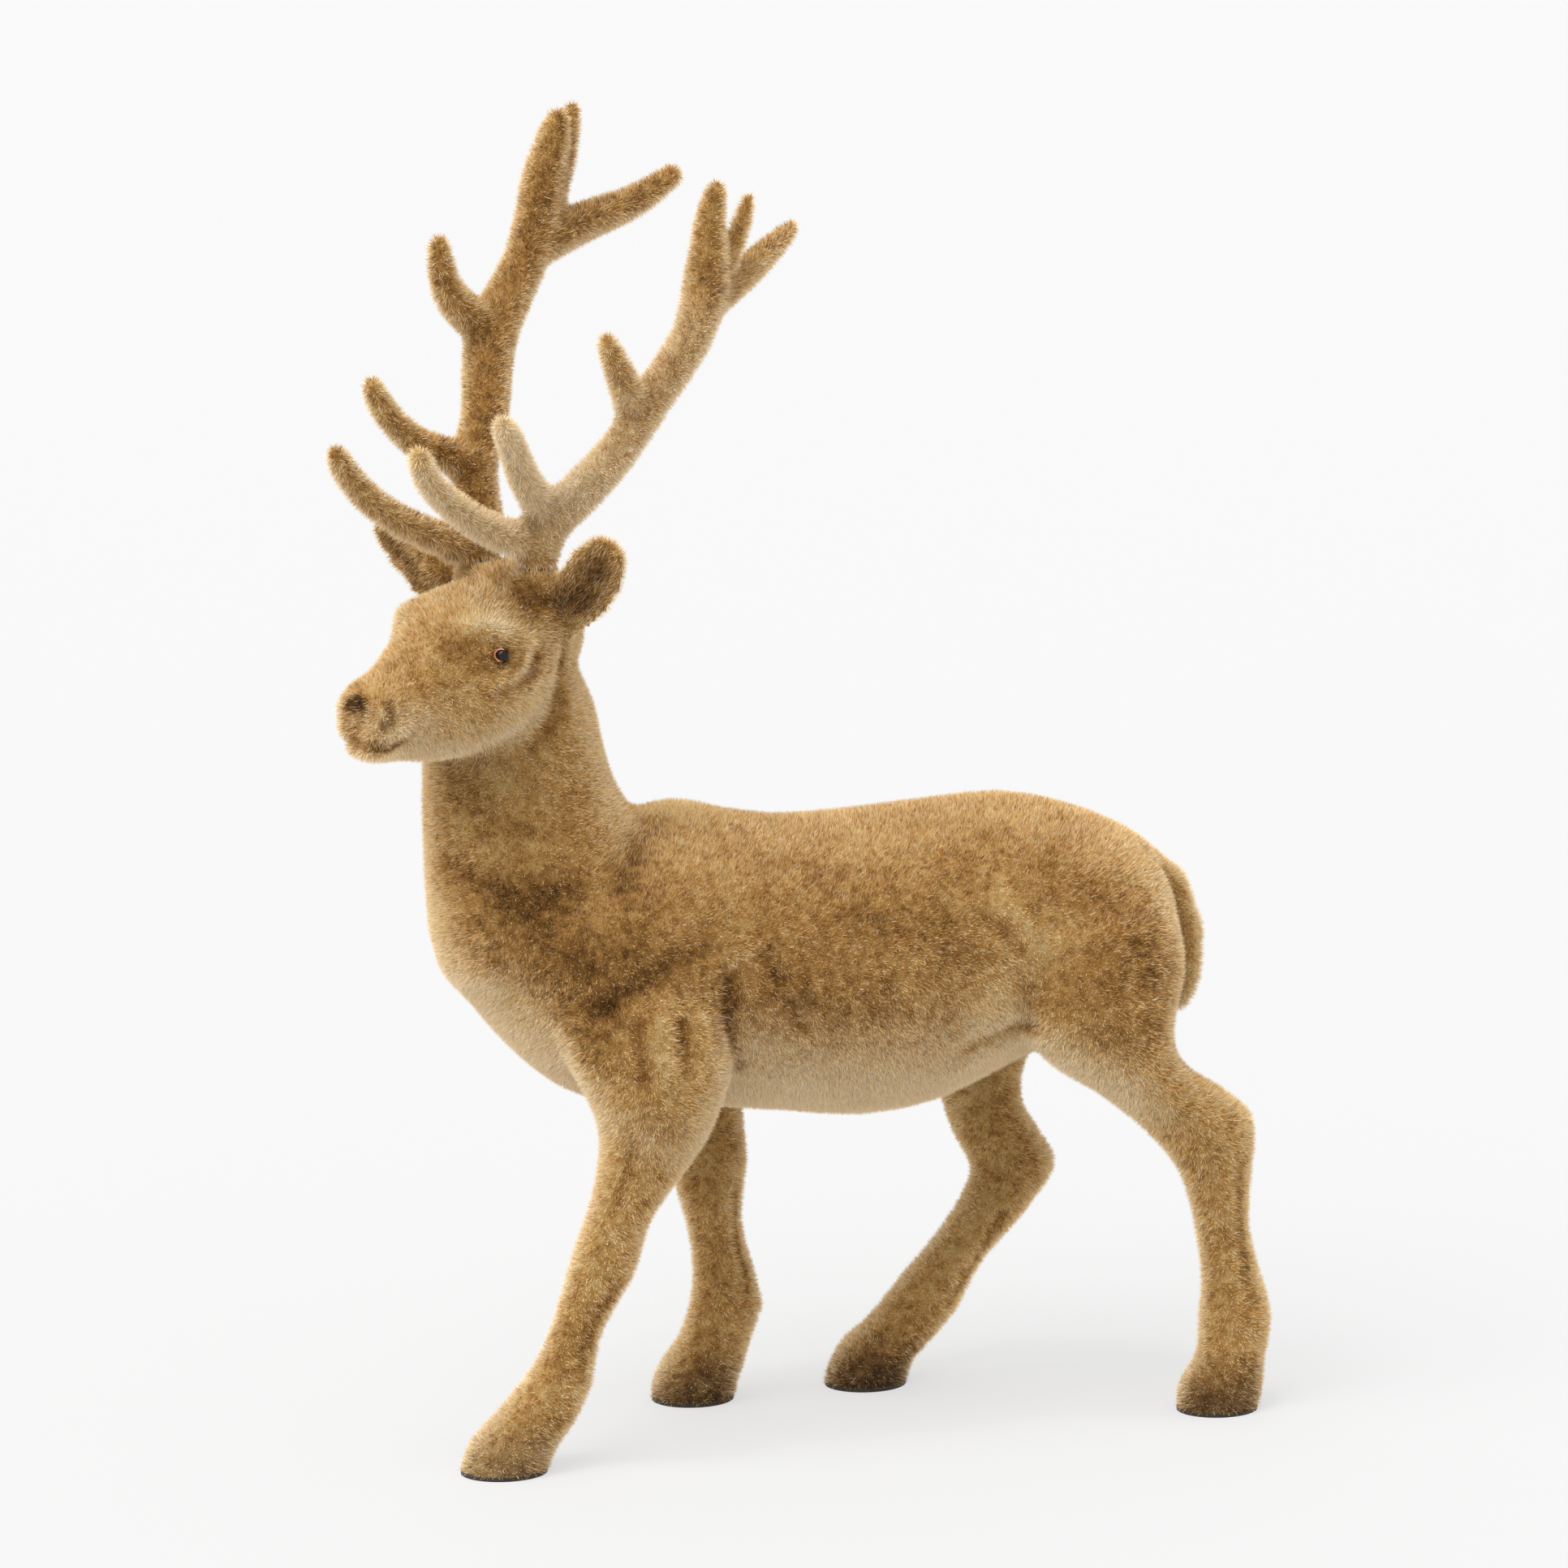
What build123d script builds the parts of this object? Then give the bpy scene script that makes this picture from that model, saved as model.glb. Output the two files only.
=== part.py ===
"""A flocked, tabletop stag figurine: moulded shells and legs over a wood and steel armature, plug-in antlers.

Millimetres, +Z up. The stag faces -Y, its left side is +X, and it stands on Z = 0.
Every limb is a run of oval stations: (x, y, z, half width across, half depth). The trunk and the
head are runs of upright ovals: (distance along, height, half width, half depth).
"""
from build123d import *
import math
import os

# Driving dimensions -------------------------------------------------------------------------
WALL = 2.5                     # moulded shell
FIT_GAP = 0.4                  # between a block and the shell around it
FAR = 400.0                    # further than any part of the stag reaches
SOLE = 1.2                     # felt sole pad under each hoof
SOLE_INSET = 1.0               # how far the pad stays inside the hoof's edge
ROD_RADIUS = 2.0               # steel rods in the legs
DOWEL_RADIUS = 6.0             # wooden spine and neck post
PEG_RADIUS = 4.0               # wooden peg in each antler
PEG_CLEARANCE = 0.08           # running fit of the peg in its socket
PEG_DEPTH = 18.0               # how far a peg goes into its socket
PEG_END_GAP = 1.0              # room under the peg
PEG_IN_ANTLER = 14.0
SOCKET_WALL = 1.5
SOCKET_FLOOR = 2.0
SEAM = 0.3                     # gap between an antler and the stump it stands on
PEDICLE_TOP = 317.0            # height of the two stumps that carry the antlers
PEDICLE_RADIUS = 9.0
PEDICLE_HEIGHT = 14.0
HEAD_TURN = 30.0               # degrees that the head is turned towards its left
NECK_Y = -90.0                 # where the head turns on the neck
EYE_RADIUS = 3.1
EYE_CLEARANCE = 0.05
EYE_HOLE_REACH = 9.0           # how far an eye's hole runs to each side of the eye
EYE_STEM_RADIUS = 0.6
EYE_STEM_LENGTH = 12.0
EYE_STEM_GRIP = 1.0            # how far the stem is moulded into the eye

TORSO = [(-117, 185, 12, 13), (-106, 182.5, 28, 28.5), (-90, 178.5, 43, 41.5), (-72, 174.5, 50, 49.5),
         (-50, 174.5, 52, 51.5), (-25, 172, 50, 54), (2, 168, 51, 53.3), (30, 166.3, 51, 55.2),
         (60, 169, 47, 54.5), (88, 175.7, 48, 48.7), (113, 176.8, 48, 41.8), (133, 173.4, 42, 36.4),
         (143.5, 170.5, 31, 31), (148, 166, 20, 20.5), (150.5, 165, 10, 10.5)]
NECK = [(0, -66, 170, 40, 38), (0, -80, 192, 41, 46), (0, -88, 212, 35, 40), (0, -92, 229, 30, 36),
        (0, -94.5, 246, 27, 33), (1, -96, 265, 25, 30.5), (3, -98, 283, 19.5, 23)]
HEAD = [(-21, 293, 8, 9), (-15, 293, 15.5, 17), (-5, 291, 21, 24), (8, 288, 24.5, 29), (24, 283, 26.5, 31),
        (38, 282, 27, 29.5), (50, 278, 22, 26), (61, 274, 17, 19.8), (72, 271.2, 15, 16.2), (79, 271, 14, 14.8),
        (84, 270.5, 8, 10)]
LEGS = {
    "fore_leg_left": [(26, -58, 190, 12, 24), (37, -57, 160, 19, 34), (40, -55, 128, 19, 24), (39, -59, 112, 15, 17.5),
                      (37, -67, 92, 11.5, 12), (36, -73, 73, 11, 12.5), (35, -82, 52, 8.5, 9.8),
                      (35, -87, 36, 9, 11.4), (35, -93.5, 24, 10.5, 13), (35, -101, 15.5, 11.5, 13.5),
                      (35, -107, 7.5, 14, 16), (35, -109.5, SOLE, 14, 16.4)],
    "fore_leg_right": [(-26, -36, 190, 12, 24), (-37, -29, 160, 19, 32), (-38, -20, 128, 18, 22), (-37, -14, 105, 14, 15.5),
                       (-36, -12, 87, 13, 15), (-35, -10.5, 66, 10, 10.7), (-35, -7.5, 50, 9.5, 11.5),
                       (-35, -6, 35, 10.5, 14), (-35, -11, 20, 11.5, 13.5), (-35, -17, 8.5, 14, 16),
                       (-35, -18.5, SOLE, 14, 16)],
    "hind_leg_left": [(24, 108, 200, 12, 24), (32, 109, 176, 21, 33.5), (38, 112.5, 152, 21, 31.5), (40, 122, 132.5, 18, 18.5),
                      (39, 136, 117, 14.5, 14.5), (38, 153, 102.5, 13, 17.5), (37, 156.5, 85, 11, 13),
                      (36, 158.5, 68, 10, 10.5), (36, 162, 50, 9.5, 11.5), (36, 164, 34, 11, 14.5),
                      (36, 162.5, 20, 11.5, 13.3), (36, 159, 9, 14, 16), (36, 157.5, SOLE, 14, 15.8)],
    "hind_leg_right": [(-24, 104, 200, 12, 24), (-32, 101, 172, 21, 34), (-38, 95, 140, 21, 27), (-37, 91.5, 118, 17, 18),
                       (-36, 94, 97, 14, 14.5), (-36, 104, 80, 12.5, 16.2), (-36, 97.5, 65, 11, 12.7),
                       (-35, 84, 49, 9.8, 10.6), (-35, 72.5, 33, 10.5, 13), (-35, 60.5, 19.5, 12, 13),
                       (-35, 50, 8.5, 14, 15.6), (-35, 47.5, SOLE, 14, 16)],
}
# Each leg rod runs from low in the leg up into a wooden block inside the trunk.
ROD_ENDS = {
    "fore_leg_left": ((36.5, -72, 75), (20, -50, 170)),
    "fore_leg_right": ((-36, -11.5, 76), (-20, -32, 170)),
    "hind_leg_left": ((38, 149, 104), (18, 108, 170)),
    "hind_leg_right": ((-36, 103, 84), (-18, 99, 170)),
}
ANTLER_FOOT = {"left": (17, -91), "right": (-5, -105)}
# Each antler is a beam and its tines: (x, y, z, radius) from root to tip.
ANTLERS = {
    "left": [
        [(17, -91, PEDICLE_TOP + SEAM, 8.5), (20, -88, 331, 8.2), (24, -77, 343, 8.3), (24, -62, 358.5, 7.7),
         (21, -50, 374.5, 7.9), (16, -34, 394, 7.9), (10, -27, 412, 8.8), (10.5, -26, 425, 7.3),
         (10, -25, 437, 6), (9, -22.5, 444.5, 4.7)],
        [(18, -93, 326, 7.5), (27, -108, 331.5, 6.8), (37, -124, 341.5, 6.2), (45.5, -136, 352.5, 5.7),
         (51.5, -141.5, 362.5, 5)],
        [(21, -88, 337, 7.5), (31, -98.5, 350, 6.4), (42, -106, 363.5, 5.8), (49, -111, 371.5, 5)],
        [(22, -56, 371, 7.5), (29, -63, 383, 6.3), (35, -70, 396.5, 4.7)],
        [(8, -24, 412, 6.5), (4, -14, 427, 5), (0, -8, 440, 3.6)],
        [(11, -28, 405, 7.6), (-3, -9.5, 413, 6.6), (-14, 4.5, 420.5, 5.5), (-21, 14.5, 426.5, 4)],
    ],
    "right": [
        [(-5, -105, PEDICLE_TOP + SEAM, 8.5), (-8, -103, 331, 8.5), (-14, -104, 347, 8.7),
         (-24, -97, 365, 8.9), (-36, -92.5, 383, 9.6), (-44, -86.5, 396, 9.5), (-52, -75, 412.5, 8.6),
         (-57, -69, 427, 8.3), (-61, -65.5, 441, 8), (-63, -61, 454, 7.2), (-63, -58.5, 463, 5.3)],
        [(-5, -107, 322, 7.5), (4, -125, 328, 6.6), (13, -145, 339.5, 6.2), (19, -157.5, 352, 5.6), (24, -163, 360.5, 4.8)],
        [(-14, -103, 349, 8), (-10, -125.5, 358, 6.3), (-6, -138, 370.5, 5.6), (-3, -143, 379.5, 4.8)],
        [(-43, -88, 391, 9), (-37, -104, 403, 7.2), (-34, -109.5, 415, 5.9), (-33, -110.5, 424, 4.8)],
        [(-60, -64, 431, 6.8), (-70, -54, 450, 5.3), (-76, -49.5, 465, 4.3)],
        [(-55, -72, 418, 8.5), (-67, -48, 426, 7.8), (-76, -27.5, 431, 6.6), (-82, -10.5, 439.5, 5)],
    ],
}
TAIL = [(0, 135, 204, 5, 3.5), (0, 147, 194.5, 6.5, 4), (0, 153.5, 181, 7, 4.2), (0, 155.5, 167, 6.5, 4.2),
        (0, 155, 153, 5.5, 4), (0, 151.5, 143, 3, 3)]
EAR_STATIONS = [(-9, 7, 4.5), (3, 10.5, 5), (14, 12.4, 5.2), (26, 12.6, 4.6), (36, 10, 3.8), (43, 5.5, 2.4)]
EAR_THICKNESS = 3.2
EARS = {"left": (6, 24, 298.5), "right": (10, -28, 295.5)}  # root: forward, to the left, height
EAR_OUT = 0.70                 # shares of the ear's direction: outwards, forward and up
EAR_AHEAD = 0.16
EAR_UP = 0.72
CUP_AHEAD = 0.8                # shares of the way its hollow side faces: forward and outwards
CUP_OUT = 0.45
EYES = {"left": (36.5, 24.7, 291), "right": (36.5, -24.7, 291)}
TINE_TIP = [(0.6, 0.8), (0.95, 0.35)]     # past the last station: distance and radius, in its radius

TURN = math.radians(HEAD_TURN)
FORWARD = Vector(math.sin(TURN), -math.cos(TURN), 0)
LEFTWARD = Vector(math.cos(TURN), math.sin(TURN), 0)


def head_point(ahead, left, height):
    """A point given in the turned head's own directions."""
    return Vector(0, NECK_Y, height) + FORWARD * ahead + LEFTWARD * left


# Shapes that repeat -------------------------------------------------------------------------
def directions(points, on_floor=False):
    """The path's direction at each point, from its two neighbours; a foot ends level on the floor."""
    ends = [points[0]] + points + [points[-1]]
    found = [(after - before).normalized() for before, after in zip(ends, ends[2:])]
    if on_floor:
        down = Vector(0, 0, -1)
        found[-1] = down
        found[-2] = down
        found[-3] = (found[-3] + down).normalized()
    return found


def halfway(rows):
    """The rows with one more between each two, on a smooth curve through them all."""
    ends = [rows[0]] + rows + [rows[-1]]
    filled = []
    for before, near, far, after in zip(ends, ends[1:], ends[2:], ends[3:]):
        filled.append(near)
        filled.append(tuple((9 * (n + f) - b - a) / 16 for b, n, f, a in zip(before, near, far, after)))
    return filled + [rows[-1]]


def limb(stations, on_floor=False, grow=0.0):
    """A solid through oval sections, each square to the path; grow thickens or thins it."""
    points = [Vector(*station[:3]) for station in stations]
    headings = directions(points, on_floor)
    rows = [tuple(station) + tuple(heading) for station, heading in zip(stations, headings)]
    sections = []
    for x, y, z, across, deep, *way in halfway(rows):
        heading = Vector(*way).normalized()
        side = Vector(1, 0, 0) - heading * heading.X
        sections.append(Plane((x, y, z), x_dir=side, z_dir=heading) * Ellipse(across + grow, deep + grow))
    return loft(sections, ruled=True)


def upright_form(stations, start, along, across_way, grow=0.0):
    """A solid through upright ovals that stand square to one level direction."""
    sections = []
    for distance, height, across, deep in halfway(stations):
        middle = Vector(*start) + Vector(*along) * distance + Vector(0, 0, height)
        plane = Plane(middle, x_dir=across_way, z_dir=along)
        sections.append(plane * Ellipse(across + grow, deep + grow))
    return loft(sections, ruled=True)


def trunk_form(stations, grow=0.0):
    return upright_form(stations, (0, 0, 0), (0, 1, 0), (1, 0, 0), grow)


def head_form(stations, grow=0.0):
    return upright_form(stations, (0, NECK_Y, 0), FORWARD, LEFTWARD, grow)


def thick_enough(stations):
    """The stations wide enough to leave a cavity inside the wall."""
    return [station for station in stations if min(station[-2:]) > 4 * WALL]


def rod(start, end, radius):
    """A straight round bar between two points."""
    start, end = Vector(*start), Vector(*end)
    length = (end - start).length
    return Plane(start, z_dir=end - start) * Pos(0, 0, length / 2) * Cylinder(radius, length)


def upright(x, y, bottom, top, radius):
    return Pos(x, y, (bottom + top) / 2) * Cylinder(radius, top - bottom)


def largest(shape):
    """The main solid of a cut shape, without the slivers that a cut can leave."""
    return max(shape.solids(), key=lambda solid: solid.volume)


def tine(stations):
    """A branch of an antler with a rounded tip."""
    points = [Vector(x, y, z) for x, y, z, radius in stations]
    radii = [station[3] for station in stations]
    heading = (points[-1] - points[-2]).normalized()
    tip, tip_radius = points[-1], radii[-1]
    for distance, share in TINE_TIP:
        points.append(tip + heading * tip_radius * distance)
        radii.append(tip_radius * share)
    return limb([(point.X, point.Y, point.Z, radius, radius) for point, radius in zip(points, radii)])


# Places that several parts share ------------------------------------------------------------
SOCKET_RADIUS = PEG_RADIUS + PEG_CLEARANCE
PEG_BOTTOM = PEDICLE_TOP - PEG_DEPTH
SOCKET_BOTTOM = PEG_BOTTOM - PEG_END_GAP - SOCKET_FLOOR
ANTLER_BOTTOM = PEDICLE_TOP + SEAM


def socket_space(side):
    """The room that an antler's socket takes up in the head."""
    return upright(*ANTLER_FOOT[side], SOCKET_BOTTOM, PEDICLE_TOP, SOCKET_RADIUS + SOCKET_WALL)


def pedicle(side):
    """The stump on the head that an antler stands on."""
    return upright(*ANTLER_FOOT[side], PEDICLE_TOP - PEDICLE_HEIGHT, PEDICLE_TOP, PEDICLE_RADIUS)


def beside_eye(side, outward):
    """A point level with an eye's middle, this much further out of the head."""
    ahead, left, height = EYES[side]
    away = outward if left > 0 else -outward
    return tuple(head_point(ahead, left + away, height))


def eye_hole(side):
    """The round hole through the head's shell that an eye sits in."""
    return rod(beside_eye(side, -EYE_HOLE_REACH), beside_eye(side, EYE_HOLE_REACH), EYE_RADIUS + EYE_CLEARANCE)


def eye_stem(side):
    """The wire that anchors an eye inside the head."""
    start = beside_eye(side, EYE_STEM_GRIP - EYE_RADIUS)
    end = beside_eye(side, -EYE_RADIUS - EYE_STEM_LENGTH)
    return rod(start, end, EYE_STEM_RADIUS)


# Trunk, neck and head -----------------------------------------------------------------------
torso = trunk_form(TORSO)
neck = limb(NECK)
trunk = torso + neck
trunk_cavity = trunk_form(thick_enough(TORSO), grow=-WALL) + limb(NECK, grow=-WALL)
neck_opening = limb(NECK[-2:], grow=-WALL).moved(Location((0, 0, WALL)))
head = head_form(HEAD)
head_cavity = head_form(thick_enough(HEAD), grow=-WALL)
block_space = head_form(thick_enough(HEAD), grow=-WALL - FIT_GAP)

# Armature -----------------------------------------------------------------------------------
rods = {name: rod(*ends, ROD_RADIUS) for name, ends in ROD_ENDS.items()}
SPINE_Z = 172.0
SPINE_FRONT = -32
SPINE_BACK = 96
POST_FOOT = (0, -62, 178)
POST_TOP = (2.5, -97, 293)
SHOULDER_BLOCK = (56, 52, 32)
HIP_BLOCK = (52, 40, 28)
HEAD_BLOCK = (46, 34, 16)
spine = rod((0, SPINE_FRONT, SPINE_Z), (0, SPINE_BACK, SPINE_Z), DOWEL_RADIUS)
neck_post = rod(POST_FOOT, POST_TOP, DOWEL_RADIUS)
shoulder_block = Pos(0, -44, 170) * Box(*SHOULDER_BLOCK) - spine - neck_post
hip_block = Pos(0, 104, SPINE_Z) * Box(*HIP_BLOCK) - spine
head_block = Plane(head_point(9, 0, 293), x_dir=LEFTWARD, z_dir=(0, 0, 1)) * Box(*HEAD_BLOCK)
head_block = (head_block & block_space) - neck - neck_post
for name, bar in rods.items():
    if name.startswith("fore"):
        shoulder_block -= bar
    else:
        hip_block -= bar

# Cut and fit --------------------------------------------------------------------------------
parts = {}
trunk_shell = trunk - trunk_cavity - neck_opening
for bar in rods.values():
    trunk_shell -= bar
half = Box(FAR, 2 * FAR, 2 * FAR)
parts["body_shell_left"] = largest(trunk_shell & Pos(FAR / 2, 0, 0) * half)
parts["body_shell_right"] = largest(trunk_shell & Pos(-FAR / 2, 0, 0) * half)

head_shell = head + pedicle("left") + pedicle("right") - head_cavity - neck
for side in ("left", "right"):
    head_shell -= socket_space(side)
    head_shell -= eye_hole(side)
    head_block -= socket_space(side)
    head_block -= eye_stem(side)
parts["head_shell"] = largest(head_shell)
parts["head_block"] = largest(head_block)
parts["shoulder_block"] = largest(shoulder_block)
parts["hip_block"] = largest(hip_block)
parts["spine_dowel"] = spine
parts["neck_post"] = neck_post

for name, stations in LEGS.items():
    parts[name] = largest(limb(stations, on_floor=True) - torso - rods[name])
    parts[name.replace("leg", "rod")] = rods[name]
    x, y, z, across, deep = stations[-1]
    pad = Pos(x, y, 0) * Ellipse(across - SOLE_INSET, deep - SOLE_INSET)
    parts[name.replace("leg", "sole")] = extrude(pad, SOLE)

parts["tail"] = largest(limb(TAIL) - torso)


# Ears ---------------------------------------------------------------------------------------
def ear(side):
    """A cupped leaf: crescent sections along the ear's length, hollow side forward."""
    ahead, left, height = EARS[side]
    outward = LEFTWARD * math.copysign(1, left)
    length_way = (outward * EAR_OUT + FORWARD * EAR_AHEAD + Vector(0, 0, EAR_UP)).normalized()
    cup_way = FORWARD * CUP_AHEAD + outward * CUP_OUT
    cup_way = (cup_way - length_way * cup_way.dot(length_way)).normalized()
    across = cup_way.cross(length_way)
    sections = []
    for along, half_width, cup in EAR_STATIONS:
        plane = Plane(head_point(ahead, left, height) + length_way * along, x_dir=across, z_dir=length_way)
        behind = -math.copysign(1, plane.y_dir.dot(cup_way))
        outer = ThreePointArc((-half_width, 0), (0, behind * (cup + EAR_THICKNESS / 2)), (half_width, 0))
        inner = ThreePointArc((half_width, 0), (0, behind * (cup - EAR_THICKNESS / 2)), (-half_width, 0))
        sections.append(plane * make_face([outer, inner]))
    return loft(sections)


# Eyes, ears and antlers ---------------------------------------------------------------------
for side in ("left", "right"):
    parts["ear_" + side] = largest(ear(side) - head - neck - pedicle(side))
    parts["eye_" + side] = Pos(*head_point(*EYES[side])) * Sphere(EYE_RADIUS) - eye_stem(side)
    parts["eye_stem_" + side] = eye_stem(side)

    x, y = ANTLER_FOOT[side]
    branches = [tine(stations) for stations in ANTLERS[side]]
    antler = branches[0]
    for branch in branches[1:]:
        antler += branch
    peg = upright(x, y, PEG_BOTTOM, ANTLER_BOTTOM + PEG_IN_ANTLER, PEG_RADIUS)
    below_foot = upright(x, y, PEG_BOTTOM, ANTLER_BOTTOM, PEDICLE_HEIGHT)
    bore = upright(x, y, PEG_BOTTOM - PEG_END_GAP, PEDICLE_TOP + SOCKET_FLOOR, SOCKET_RADIUS)
    parts["antler_" + side] = largest(antler - peg - below_foot)
    parts["antler_peg_" + side] = peg
    parts["antler_socket_" + side] = socket_space(side) - bore

# Write --------------------------------------------------------------------------------------
os.makedirs("parts", exist_ok=True)
boxes = [part.bounding_box() for part in parts.values()]
middle_x = (min(box.min.X for box in boxes) + max(box.max.X for box in boxes)) / 2
middle_y = (min(box.min.Y for box in boxes) + max(box.max.Y for box in boxes)) / 2
to_origin = Location((-middle_x, -middle_y, 0))
print("moved by", to_origin.position)
for name, part in parts.items():
    export_step(part.moved(to_origin), "parts/" + name + ".step")
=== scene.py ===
"""The flocked stag's looks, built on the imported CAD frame: a sculpted skin, the flock fibres on it,
bead eyes, materials, floor, lights and camera. Metres, +Z up; the stag faces -Y."""
import math
import bpy
import numpy as np
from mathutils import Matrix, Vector


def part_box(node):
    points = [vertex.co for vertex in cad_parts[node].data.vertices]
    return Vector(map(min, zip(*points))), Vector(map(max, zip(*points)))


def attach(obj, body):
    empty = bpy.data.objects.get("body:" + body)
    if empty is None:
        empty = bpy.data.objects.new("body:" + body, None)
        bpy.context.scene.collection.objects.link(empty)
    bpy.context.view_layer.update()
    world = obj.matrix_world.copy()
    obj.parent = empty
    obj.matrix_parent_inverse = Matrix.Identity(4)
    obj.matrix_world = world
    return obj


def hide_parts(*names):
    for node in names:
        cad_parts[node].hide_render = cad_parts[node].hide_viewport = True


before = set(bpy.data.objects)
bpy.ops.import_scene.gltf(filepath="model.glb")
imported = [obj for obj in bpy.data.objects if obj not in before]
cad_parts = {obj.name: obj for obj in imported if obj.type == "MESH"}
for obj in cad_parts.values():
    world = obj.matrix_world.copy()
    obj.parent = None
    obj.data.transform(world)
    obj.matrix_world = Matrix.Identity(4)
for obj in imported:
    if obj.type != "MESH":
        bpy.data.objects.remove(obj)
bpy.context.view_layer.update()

# Frame ---------------------------------------------------------------------------------------
# The sculpting below is written in millimetres from the trunk's middle line, as the stag stands.
MM = 0.001
LEFT_FORE_HOOF = (35.0, -109.5)
low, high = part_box("fore_sole_left")
SHIFT = np.array([(low[0] + high[0]) / 2 - LEFT_FORE_HOOF[0] * MM,
                  (low[1] + high[1]) / 2 - LEFT_FORE_HOOF[1] * MM, 0.0])
HEAD_TURN = math.radians(30.0)
NECK_Y = -90.0
FORWARD = np.array([math.sin(HEAD_TURN), -math.cos(HEAD_TURN), 0.0])
LEFTWARD = np.array([math.cos(HEAD_TURN), math.sin(HEAD_TURN), 0.0])
UP = np.array([0.0, 0.0, 1.0])
LEGS = ["fore_leg_left", "fore_leg_right", "hind_leg_left", "hind_leg_right"]
FIGURE_NODES = ["body_shell_left", "body_shell_right", "head_shell", "ear_left", "ear_right", "tail", *LEGS]
PILE = 2.0                      # how deep the skin lies under the flock's outer surface
ANTLER_FEET = {"left": (17.0, -91.0), "right": (-5.0, -105.0)}
PEDICLE_TOP = 317.0
PEDICLE_RADIUS = 9.0
SOCKET_RADIUS = 5.6
SOCKET_DEPTH = 22.0
PEG_HOLE_RADIUS = 4.3
PEG_HOLE = (0.5, 16.0)          # from and to, above the pedicle's top
# Places in the head: forward, to the side, height. The side of a thing is 1 for left and -1 for right.
EAR_ROOTS = {1: (6.0, 24.0, 298.5), -1: (10.0, 28.0, 295.5)}
EAR_WAY = (0.16, 0.70, 0.72)    # shares forward, outwards and up
EAR_FACING = (0.8, 0.45, 0.0)   # the same, for the way the hollow faces
EAR_BLADE = (14.0, 43.0)        # the thin part of the ear, along its way
EYE = (36.5, 24.7, 291.0)


def metres(points):
    """Sculpting millimetres to the frame's metres."""
    return np.asarray(points, float) * MM + SHIFT


def millimetres(points):
    """The frame's metres to sculpting millimetres."""
    return (np.asarray(points, float) - SHIFT) / MM


def head_point(ahead, left, height):
    """A point given in the turned head's own directions, in sculpting millimetres."""
    return np.array([0.0, NECK_Y, 0.0]) + FORWARD * ahead + LEFTWARD * left + UP * height


# Mesh arrays ---------------------------------------------------------------------------------
ASKEW = (0.3, 0.5, 0.8)         # a direction that no plug has
FAR_AWAY = 1e9
LATTICE = 32                    # cells along one side of the noise, which repeats after them
LATTICE_STEP = 7.31             # keeps the noises of different seeds apart


def mesh_arrays(mesh):
    """A mesh's vertices in sculpting millimetres, and its triangles."""
    mesh.calc_loop_triangles()
    points = np.empty(len(mesh.vertices) * 3, np.float32)
    mesh.vertices.foreach_get("co", points)
    triangles = np.empty(len(mesh.loop_triangles) * 3, np.int32)
    mesh.loop_triangles.foreach_get("vertices", triangles)
    return millimetres(points.reshape(-1, 3)), triangles.reshape(-1, 3)


def new_object(name, points, faces, smooth=True):
    """An object from points in sculpting millimetres and an array of equal-sided faces."""
    sides = faces.shape[1]
    mesh = bpy.data.meshes.new(name)
    mesh.vertices.add(len(points))
    mesh.vertices.foreach_set("co", metres(points).astype(np.float32).ravel())
    mesh.loops.add(faces.size)
    mesh.loops.foreach_set("vertex_index", faces.astype(np.int32).ravel())
    mesh.polygons.add(len(faces))
    mesh.polygons.foreach_set("loop_start", np.arange(0, faces.size, sides, dtype=np.int32))
    mesh.polygons.foreach_set("use_smooth", np.full(len(faces), smooth))
    mesh.update(calc_edges=True)
    piece = bpy.data.objects.new(name, mesh)
    bpy.context.collection.objects.link(piece)
    return piece


def plug(foot, top, radius, sides=24):
    """A closed cylinder that fills a hole before the skin is made."""
    foot, top = np.asarray(foot, float), np.asarray(top, float)
    axis = (top - foot) / np.linalg.norm(top - foot)
    across = np.cross(axis, ASKEW)
    across /= np.linalg.norm(across)
    other = np.cross(axis, across)
    turn = np.linspace(0, 2 * math.pi, sides, endpoint=False)
    ring = (np.outer(np.cos(turn), across) + np.outer(np.sin(turn), other)) * radius
    points = np.vstack([foot + ring, top + ring, foot, top])
    this = np.arange(sides)
    following = (this + 1) % sides
    wall = np.stack([this, following, following + sides], 1)
    other_wall = np.stack([this, following + sides, this + sides], 1)
    floor = np.stack([following, this, np.full(sides, 2 * sides)], 1)
    roof = np.stack([this + sides, following + sides, np.full(sides, 2 * sides + 1)], 1)
    return points, np.vstack([wall, other_wall, floor, roof])


def remeshed(name, pieces, voxel):
    """One even skin of quads around closed pieces, as points and quads."""
    points = np.vstack([piece[0] for piece in pieces])
    starts = np.cumsum([0] + [len(piece[0]) for piece in pieces])
    faces = np.vstack([piece[1] + start for piece, start in zip(pieces, starts)])
    piece = new_object(name + "_union", points, faces)
    modifier = piece.modifiers.new("even", "REMESH")
    modifier.mode = "VOXEL"
    modifier.voxel_size = voxel * MM
    evaluated = piece.evaluated_get(bpy.context.evaluated_depsgraph_get())
    mesh = evaluated.to_mesh()
    count = len(mesh.vertices)
    found = np.empty(count * 3, np.float32)
    mesh.vertices.foreach_get("co", found)
    quads = np.empty(len(mesh.loops), np.int32)
    mesh.loops.foreach_get("vertex_index", quads)
    evaluated.to_mesh_clear()
    bpy.data.objects.remove(piece)
    return outer_island(millimetres(found.reshape(-1, 3)), quads.reshape(-1, 4))


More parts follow.
